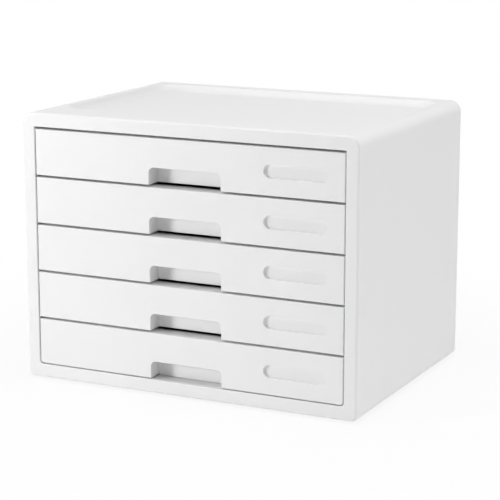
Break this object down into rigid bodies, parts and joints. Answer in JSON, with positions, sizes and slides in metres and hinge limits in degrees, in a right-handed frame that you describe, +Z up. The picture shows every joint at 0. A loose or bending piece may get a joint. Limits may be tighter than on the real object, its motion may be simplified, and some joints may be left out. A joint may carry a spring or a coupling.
{
  "type": "desktop drawer cabinet",
  "caption": "Desktop document cabinet in white moulded plastic: stacked sliding drawers with finger pulls and label recesses in a rounded housing with a shallow tray in its top.",
  "frame": {"origin": "on the surface under the feet, below the middle of the cabinet's outline", "axes": "+X to the right across the width, +Y from the drawer fronts to the back, +Z up"},
  "size_m": [0.34, 0.252, 0.256],
  "materials": {
    "housing_plastic": "fine matt moulded texture",
    "drawer_front_plastic": "fine matt moulded texture",
    "drawer_tray_plastic": "satin moulded",
    "inner_plastic": "satin moulded",
    "foot_rubber": "matt",
    "screw_steel": "zinc plated"
  },
  "bodies": {
    "cabinet": {"housing": "housing_plastic", "back_panel": "inner_plastic", "base_panel": "inner_plastic", "runner_panel_left": "inner_plastic", "runner_panel_right": "inner_plastic", "foot_front_left": "foot_rubber", "foot_front_right": "foot_rubber", "foot_rear_left": "foot_rubber", "foot_rear_right": "foot_rubber", "back_panel_screws": "screw_steel", "base_panel_screws": "screw_steel", "runner_screws_left": "screw_steel", "runner_screws_right": "screw_steel"},
    "drawer_1": {"drawer_front_1": "drawer_front_plastic", "drawer_tray_1": "drawer_tray_plastic"},
    "drawer_2": {"drawer_front_2": "drawer_front_plastic", "drawer_tray_2": "drawer_tray_plastic"},
    "drawer_3": {"drawer_front_3": "drawer_front_plastic", "drawer_tray_3": "drawer_tray_plastic"},
    "drawer_4": {"drawer_front_4": "drawer_front_plastic", "drawer_tray_4": "drawer_tray_plastic"},
    "drawer_5": {"drawer_front_5": "drawer_front_plastic", "drawer_tray_5": "drawer_tray_plastic"}
  },
  "joints": [
    {"name": "drawer_1_slide", "type": "slide", "parent": "cabinet", "child": "drawer_1", "axis": [0, -1, 0], "range_m": [0, 0.18]},
    {"name": "drawer_2_slide", "type": "slide", "parent": "cabinet", "child": "drawer_2", "axis": [0, -1, 0], "range_m": [0, 0.18]},
    {"name": "drawer_3_slide", "type": "slide", "parent": "cabinet", "child": "drawer_3", "axis": [0, -1, 0], "range_m": [0, 0.18]},
    {"name": "drawer_4_slide", "type": "slide", "parent": "cabinet", "child": "drawer_4", "axis": [0, -1, 0], "range_m": [0, 0.18]},
    {"name": "drawer_5_slide", "type": "slide", "parent": "cabinet", "child": "drawer_5", "axis": [0, -1, 0], "range_m": [0, 0.18]}
  ]
}
